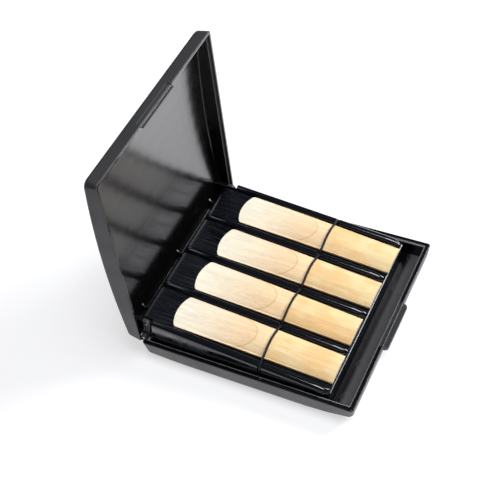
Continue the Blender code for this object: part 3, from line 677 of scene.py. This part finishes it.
# Reeds: bare cane, Arundo donax. The bark is left on towards the butt, the file cut strips it as far
# as a straight line, and the vamp is scraped to a U in front of a paler heart.
reedValues = {
    "length": 72.7 * mm,
    "tipWidth": 16.0 * mm,
    "buttWidth": 13.8 * mm,
    "sideHeight": 1.2 * mm,
    "caneRadius": 12.7 * mm,
    "fileLine": 31.0 * mm,
    "fileEdge": 0.01 * mm,
    "fileDepth": 0.2 * mm,
    "tipThickness": 0.3 * mm,
    "vampPower": 1.25,
    "tipArc": 15.5 * mm,
    "tipCorner": 0.9 * mm,
    "heartStart": 36.5 * mm,
    "heartLong": 11.0 * mm,
    "heartHalf": 7.9 * mm,
    "edgeRound": 0.10 * mm,
    "edgeSteps": 2,
    "edgeAngle": math.radians(50),
    "smoothAngle": math.radians(30),
    "columns": 44,
    "rows": 176,
    "fileRow": 76,                # the row of the grid that lies on the file line
    # how each reed lies in its slot
    "setback": (1.2 * mm, 1.5 * mm, 0.9 * mm, 0.35 * mm),
    "shift": (-0.2 * mm, -0.15 * mm, -0.2 * mm, 0.2 * mm),
    "yaw": (math.radians(0.2), math.radians(-0.45), math.radians(-0.3), math.radians(-0.7)),
    "seat": 0.6 * mm,
}
caneFinish = {
    "bark": "#fadfa8",
    "barkDeep": "#f5cc90",
    "shoulder": "#fbdcad",
    "vamp": "#f9d8aa",
    "tip": "#f9f1d8",
    "line": "#e0b47a",
    "mark": "#a8722f",
    "endGrain": "#f8ead0",
    "roughness": 0.7,
    "ior": 1.45,
    "specular": 0.15,
    "fibres": (0.22 * mm, 7 * mm, 0.22 * mm),
    "fibreTone": (0.88, 1.05),
    "fibreHeight": 0.02 * mm,
    "fibreStrength": 0.5,
    "bands": (1.6 * mm, 30 * mm, math.inf),
    "bandTone": (0.92, 1.04),
    "patch": 9 * mm,
    "patchTone": (0.97, 1.02),
    "patchRange": (0.35, 0.65),
    "noiseRange": (0.3, 0.7),
    "dashes": (0.45 * mm, 2.6 * mm, math.inf),
    "dashRange": (0.72, 0.80),
    "dashShare": 0.6,
    "seedStep": 31.7,
    "heartLine": 0.05,
    "lineFade": 5 * mm,
    "lineShare": 0.7,
    "barkEdge": (-0.1 * mm, 0.3 * mm),
    "buttEdge": (0.02 * mm, 0.06 * mm),
    "paintedReflectionGrey": 0.7,
}


def heartEdge(x, values):
    # where the scraped vamp begins at this distance from the reed's middle
    share = min(abs(x) / values["heartHalf"], 1.0)
    return values["heartStart"] + values["heartLong"] * (1 - math.sqrt(1 - share ** 2))


def tipEnd(x, values):
    past = max(0.0, abs(x) - (values["tipWidth"] / 2 - values["tipCorner"])) / values["tipCorner"]
    corner = values["tipCorner"] * (1 - math.sqrt(max(0.0, 1 - past ** 2)))
    return values["length"] - (values["tipArc"] - math.sqrt(values["tipArc"] ** 2 - x ** 2)) - corner


def reedHeight(x, y, values):
    # round bark, lowered by the file cut, then scraped down to the tip
    half = values["buttWidth"] / 2
    centre = values["sideHeight"] - math.sqrt(values["caneRadius"] ** 2 - half ** 2)
    height = centre + math.sqrt(values["caneRadius"] ** 2 - min(abs(x), half) ** 2)
    if y > values["fileLine"] + values["fileEdge"]:
        height -= values["fileDepth"]
    start = heartEdge(x, values)
    if y > start:
        left = (1 - (y - start) / (values["length"] - start)) ** values["vampPower"]
        height = values["tipThickness"] + (height - values["tipThickness"]) * left
    return height


def makeReedBlank(values):
    # a fine grid raised to a slab, then set to the reed's outline and heights
    bpy.ops.object.select_all(action="DESELECT")
    bpy.ops.mesh.primitive_grid_add(x_subdivisions=values["columns"], y_subdivisions=values["rows"],
                                    size=2.0)
    reed = bpy.context.object
    bpy.ops.object.mode_set(mode="EDIT")
    bpy.ops.mesh.select_all(action="SELECT")
    bpy.ops.mesh.extrude_region_move(TRANSFORM_OT_translate={"value": (0.0, 0.0, 1.0)})
    bpy.ops.object.mode_set(mode="OBJECT")
    stepEnd = values["fileLine"] + values["fileDepth"]
    rowsPast = values["rows"] - values["fileRow"] - 1
    for vertex in reed.data.vertices:
        across = math.sin(math.pi / 2 * vertex.co.x)
        row = round((vertex.co.y + 1) / 2 * values["rows"])
        end = tipEnd(across * values["tipWidth"] / 2, values)
        if row <= values["fileRow"]:
            y = values["fileLine"] * row / values["fileRow"]
        else:
            y = stepEnd + (end - stepEnd) * (row - values["fileRow"] - 1) / rowsPast
        width = values["buttWidth"] + (values["tipWidth"] - values["buttWidth"]) * y / values["length"]
        x = across * width / 2
        isTop = vertex.co.z > 0.5
        vertex.co = (x, y, reedHeight(x, y, values) if isTop else 0.0)
    turnNormalsOut()
    rounding = reed.modifiers.new("edges", "BEVEL")
    rounding.width = values["edgeRound"]
    rounding.segments = values["edgeSteps"]
    rounding.limit_method = "ANGLE"
    rounding.angle_limit = values["edgeAngle"]
    bpy.ops.object.modifier_apply(modifier=rounding.name)
    bpy.ops.object.shade_smooth_by_angle(angle=values["smoothAngle"])
    return reed


def reedPlace(slot, values):
    x = slotMiddle(slot) + values["shift"][slot] + math.sin(values["yaw"][slot]) * values["length"]
    y = trayFront + values["setback"][slot]
    z = slotFloor + values["seat"]
    return trayPlace @ Matrix.Translation((x, y, z)) @ Matrix.Rotation(values["yaw"][slot], 4, "Z")


def strippedColour(tree, x, y, shape, finish):
    # shoulder and vamp: paler towards the tip, with a U line round the heart
    alongVamp = fade(tree, y, shape["heartStart"], shape["length"])
    vamp = mixColour(tree, alongVamp, srgb(finish["vamp"]), srgb(finish["tip"]))
    # the U is an ellipse whose legs run out along the reed
    centre = shape["heartStart"] + shape["heartLong"]
    along = maths(tree, "MINIMUM", maths(tree, "SUBTRACT", y, centre), 0.0)
    reach = distance(tree, maths(tree, "DIVIDE", along, shape["heartLong"]),
                     maths(tree, "DIVIDE", x, shape["heartHalf"]))
    inHeart = fade(tree, reach, 1.0 - finish["heartLine"], 1.0, 1.0, 0.0)
    off = maths(tree, "ABSOLUTE", maths(tree, "SUBTRACT", reach, 1.0))
    nearLine = fade(tree, off, 0.0, finish["heartLine"], 1.0, 0.0)
    fadeOut = fade(tree, y, shape["heartStart"] + finish["lineFade"], centre, 1.0, 0.0)
    lineShare = maths(tree, "MULTIPLY", maths(tree, "MULTIPLY", nearLine, fadeOut), finish["lineShare"])
    stripped = mixColour(tree, inHeart, srgb(finish["shoulder"]), vamp)
    return mixColour(tree, lineShare, stripped, srgb(finish["line"]))


def makeCaneMaterial(slot, shape, finish):
    material, tree = newMaterial("caneReed" + str(slot + 1))
    place = ownPlace(tree, reedPlace(slot, shape))
    split = addNode(tree, "SeparateXYZ", links={0: place})
    x, y = split.outputs[0], split.outputs[1]
    seed = slot * finish["seedStep"]
    fibres = noise(tree, place, finish["fibres"], detail=3.0, roughness=0.6, shift=(seed, seed, 0))
    bands = noise(tree, place, finish["bands"], shift=(seed, -seed, 0))
    patches = noise(tree, place, (finish["patch"],) * 3, shift=(-seed, seed, 0))
    dashes = noise(tree, place, finish["dashes"], detail=1.0, shift=(seed, 2 * seed, 0))

    bark = mixColour(tree, fade(tree, patches, *finish["patchRange"]), srgb(finish["bark"]),
                     srgb(finish["barkDeep"]))
    before, after = finish["barkEdge"]
    onBark = fade(tree, y, shape["fileLine"] + before, shape["fileLine"] + after, 1.0, 0.0)
    colour = mixColour(tree, onBark, strippedColour(tree, x, y, shape, finish), bark)

    # fibres, broad bands and patches, all lengthwise
    tone = fade(tree, fibres, *finish["noiseRange"], *finish["fibreTone"])
    for pattern, reach in ((bands, finish["bandTone"]), (patches, finish["patchTone"])):
        tone = maths(tree, "MULTIPLY", tone, fade(tree, pattern, *finish["noiseRange"], *reach))
    toned = addNode(tree, "VectorMath", {"operation": "SCALE"}, {0: colour, 3: tone}).outputs[0]

    # short brown dashes in the bark, where fibres are stained
    stain = fade(tree, dashes, *finish["dashRange"], 0.0, finish["dashShare"])
    marked = mixColour(tree, maths(tree, "MULTIPLY", stain, onBark), toned, srgb(finish["mark"]))
    atButt = fade(tree, y, *finish["buttEdge"], 1.0, 0.0)
    cane = mixColour(tree, atButt, marked, srgb(finish["endGrain"]))
    # painted reflection: seen in mirrors the cane is painted mostly grey, so the black plastic shows it
    # with little of its colour
    grey = addNode(tree, "RGBToBW", links={0: cane}).outputs[0]
    inMirror = addNode(tree, "LightPath").outputs["Is Glossy Ray"]
    cane = mixColour(tree, maths(tree, "MULTIPLY", inMirror, finish["paintedReflectionGrey"]), cane, grey)

    normal = relief(tree, fibres, finish["fibreStrength"], finish["fibreHeight"])
    settings = {"Roughness": finish["roughness"], "IOR": finish["ior"],
                "Specular IOR Level": finish["specular"]}
    shader = addNode(tree, "BsdfPrincipled", settings, {"Base Color": cane, "Normal": normal})
    closeMaterial(tree, shader)
    return material


reedBlank = makeReedBlank(reedValues)
for slot in range(slotCount):
    reed = addObject("caneReed" + str(slot + 1), reedBlank.data.copy())
    reed.data.transform(reedPlace(slot, reedValues))
    reed.data.materials.append(makeCaneMaterial(slot, reedValues, caneFinish))
    nodeName = "reed_" + str(slot + 1)
    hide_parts(nodeName)
    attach(reed, nodeName)
bpy.data.objects.remove(reedBlank, do_unlink=True)
print("reeds finished")


# Pins: drawn steel wire, cut and tumbled, so it is bright with faint rings round it
pinFinish = {
    "colour": "#c6c7ca",
    "rings": (0.12 * mm, 4 * mm, 4 * mm),
    "noiseRange": (0.3, 0.7),
    "roughness": (0.22, 0.38),
}


def makePinMaterial(values):
    material, tree = newMaterial("drawnSteelWire")
    rings = noise(tree, objectPlace(tree), values["rings"])
    roughness = fade(tree, rings, *values["noiseRange"], *values["roughness"])
    shader = addNode(tree, "BsdfPrincipled", {"Base Color": srgb(values["colour"]), "Metallic": 1.0},
                     {"Roughness": roughness})
    closeMaterial(tree, shader)
    return material


pinSteel = makePinMaterial(pinFinish)
for pinName in ("hinge_pin_left", "hinge_pin_right", "tray_pin_left", "tray_pin_right"):
    dress(pinName, pinSteel)
print("pins finished")


# Elastic cord: rubber strands in a braided polyester jacket, a matt dark navy with a fine cross weave.
# It is one loop round the tray, knotted below it.
cordValues = {
    "radius": 0.5 * mm,
    "step": 0.25 * mm,
    "sides": 16,
    "yarns": 4,
    "braidPitch": 1.0 * mm,       # real pitch is about 0.5 mm, drawn coarser to show
    "braidShare": 0.05,
    "knotHalf": 1.5 * mm,
    "knotStrand": 0.28 * mm,
    "knotTurns": 2.5,
    "knotSteps": 40,
    "knotSpread": 0.8,            # share of the knot's length that the turns take
    "knotStandOff": 0.2,          # how far the winding stands off the loop, in strand radii
    "tailReach": 1.7,             # where the tail ends, in half lengths of the knot
    "tailPlace": (-0.7 * mm, 0.5 * mm),
    # over each reed, from its middle: (x, height above the slot floor) in mm
    "overReed": ((-8.0, 2.51), (-5.83, 3.32), (-3.97, 4.05), (-2.0, 4.49), (0.0, 4.64), (2.0, 4.49),
                 (3.97, 4.05), (5.83, 3.32), (8.05, 2.51)),
    "reedX": (-30.50, -10.64, 9.73, 30.14),
    "railX": (-20.3, 0.0, 20.3),
    "railDip": (0.45, 0.90),      # half the dip's width, and its height, where a rail is cut through
    # down the +X side in the same units, mirrored for the other side, and below the plate between them
    "side": ((40.35, 1.75), (41.11, 1.28), (41.62, 0.55), (41.80, -0.32), (41.80, -3.20), (41.51, -4.30),
             (40.70, -5.11), (39.60, -5.40)),
    "under": (29.70, 19.80, 9.90, 0.0, -9.90, -19.80, -29.70),
}
cordFinish = {
    "dark": "#0a0d16",
    "light": "#1b2133",
    "roughness": 0.65,
    "ior": 1.45,
    "fuzz": 0.25 * mm,
    "fuzzRange": (0.25, 0.6),
    "fuzzShare": (0.5, 1.0),
    "weaveRange": (-0.6, 0.8),
    "weaveHeight": 0.03 * mm,
    "weaveStrength": 0.6,
}


def cordRoute(values):
    # closed loop in the tray's own x and height, in metres
    half, dip = values["railDip"]
    points = []
    for k, centre in enumerate(values["reedX"]):
        if k:
            rail = values["railX"][k - 1]
            points += [(rail - half, dip), (rail + half, dip)]
        points += [(centre + x, z) for x, z in values["overReed"]]
    low = values["side"][-1][1]
    points += values["side"]
    points += [(x, low) for x in values["under"]]
    points += [(-x, z) for x, z in reversed(values["side"])]
    return [Vector(point) * mm for point in points]


def evenPoints(points, step, closed, spanSteps=12):
    # smooth curve through the points, read off at even steps
    count = len(points)
    dense = []
    for k in range(count if closed else count - 1):
        around = [(k + n) % count if closed else min(max(k + n, 0), count - 1) for n in (-1, 0, 1, 2)]
        p0, p1, p2, p3 = (points[place] for place in around)
        for n in range(spanSteps):
            t = n / spanSteps
            dense.append(0.5 * (2 * p1 + (p2 - p0) * t + (2 * p0 - 5 * p1 + 4 * p2 - p3) * t ** 2
                                + (3 * p1 - p0 - 3 * p2 + p3) * t ** 3))
    dense.append(dense[0] if closed else points[-1])
    lengths = [(b - a).length for a, b in zip(dense, dense[1:])]
    total = sum(lengths)
    steps = round(total / step)
    result, travelled, k = [], 0.0, 0
    for n in range(steps if closed else steps + 1):
        goal = total * n / steps
        while k < len(lengths) - 1 and travelled + lengths[k] < goal:
            travelled += lengths[k]
            k += 1
        result.append(dense[k].lerp(dense[k + 1], (goal - travelled) / lengths[k]))
    return result, total


def addTube(verts, faces, uvs, points, total, radius, values, closed):
    # braided tube: its skin rises and falls where the jacket's yarns cross
    sides, yarns = values["sides"], values["yarns"]
    first = len(verts)
    count = len(points)
    for n, point in enumerate(points):
        ahead = points[(n + 1) % count] if closed else points[min(n + 1, count - 1)]
        behind = points[n - 1] if closed else points[max(n - 1, 0)]
        along = (ahead - behind).normalized()
        across = along.cross(Vector((0, 1, 0))).normalized()
        lift = along.cross(across)
        run = 2 * math.pi * total * n / count / values["braidPitch"]
        for s in range(sides):
            a = 2 * math.pi * s / sides
            yarn = math.sin(yarns * a + run) * math.sin(yarns * a - run)
            grown = radius * (1 - values["braidShare"] + values["braidShare"] * yarn)
            verts.append(point + (across * math.cos(a) + lift * math.sin(a)) * grown)
    for n in range(count if closed else count - 1):
        run, runEnd = total * n / count / mm, total * (n + 1) / count / mm
        low, high = first + n * sides, first + (n + 1) % count * sides
        for s in range(sides):
            t = (s + 1) % sides
            u, uEnd = s / sides, (s + 1) / sides
            faces.append((low + s, low + t, high + t, high + s))
            uvs.append(((u, run), (uEnd, run), (uEnd, runEnd), (u, runEnd)))
    if not closed:
        for ring in (0, count - 1):
            faces.append(tuple(first + ring * sides + s for s in range(sides)))
            uvs.append(tuple((s / sides, 0.0) for s in range(sides)))


def makeCord(values):
    verts, faces, uvs = [], [], []
    flat, total = evenPoints(cordRoute(values), values["step"], True)
    loop = [Vector((point.x, cordAlong, point.y + slotFloor)) for point in flat]
    addTube(verts, faces, uvs, loop, total, values["radius"], values, True)

    # the knot: one end wound round the loop and its tail pulled through
    low = values["side"][-1][1] * mm + slotFloor
    winding = values["radius"] + values["knotStrand"] * values["knotStandOff"]
    turns = []
    for n in range(values["knotSteps"] + 1):
        share = n / values["knotSteps"]
        a = 2 * math.pi * values["knotTurns"] * share
        x = values["knotHalf"] * (2 * share - 1) * values["knotSpread"]
        turns.append(Vector((x, cordAlong + winding * math.cos(a), low + winding * math.sin(a))))
    tailY, tailZ = values["tailPlace"]
    middleY = (turns[-1].y + cordAlong) / 2
    tail = Vector((values["knotHalf"] * values["tailReach"], middleY + tailY, low + tailZ))
    strand, strandLength = evenPoints(turns + [tail], values["step"], False)
    addTube(verts, faces, uvs, strand, strandLength, values["knotStrand"], values, False)

    data = bpy.data.meshes.new("braidedElastic")
    data.from_pydata(verts, [], faces)
    layer = data.uv_layers.new(name="jacket")
    for corner, place in enumerate(place for face in uvs for place in face):
        layer.data[corner].uv = place
    data.transform(trayPlace)
    data.shade_smooth()
    cord = addObject("braidedElastic", data)
    selectOnly(cord)
    turnNormalsOut()
    return cord


def makeElasticMaterial(shape, finish):
    material, tree = newMaterial("braidedPolyester")
    place = addNode(tree, "UVMap", {"uv_map": "jacket"}).outputs[0]
    split = addNode(tree, "SeparateXYZ", links={0: place})
    turn = maths(tree, "MULTIPLY", split.outputs[0], 2 * math.pi * shape["yarns"])
    run = maths(tree, "MULTIPLY", split.outputs[1], 2 * math.pi * mm / shape["braidPitch"])
    one = maths(tree, "SINE", maths(tree, "ADD", turn, run))
    other = maths(tree, "SINE", maths(tree, "SUBTRACT", turn, run))
    weave = maths(tree, "MULTIPLY", one, other)
    fuzz = noise(tree, objectPlace(tree), (finish["fuzz"],) * 3)
    share = maths(tree, "MULTIPLY", fade(tree, weave, *finish["weaveRange"]),
                  fade(tree, fuzz, *finish["fuzzRange"], *finish["fuzzShare"]))
    colour = mixColour(tree, share, srgb(finish["dark"]), srgb(finish["light"]))
    normal = relief(tree, weave, finish["weaveStrength"], finish["weaveHeight"])
    shader = addNode(tree, "BsdfPrincipled", {"Roughness": finish["roughness"], "IOR": finish["ior"]},
                     {"Base Color": colour, "Normal": normal})
    closeMaterial(tree, shader)
    return material


cord = makeCord(cordValues)
cord.data.materials.append(makeElasticMaterial(cordValues, cordFinish))
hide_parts("elastic_cord")
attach(cord, "tray")
print("cord finished")
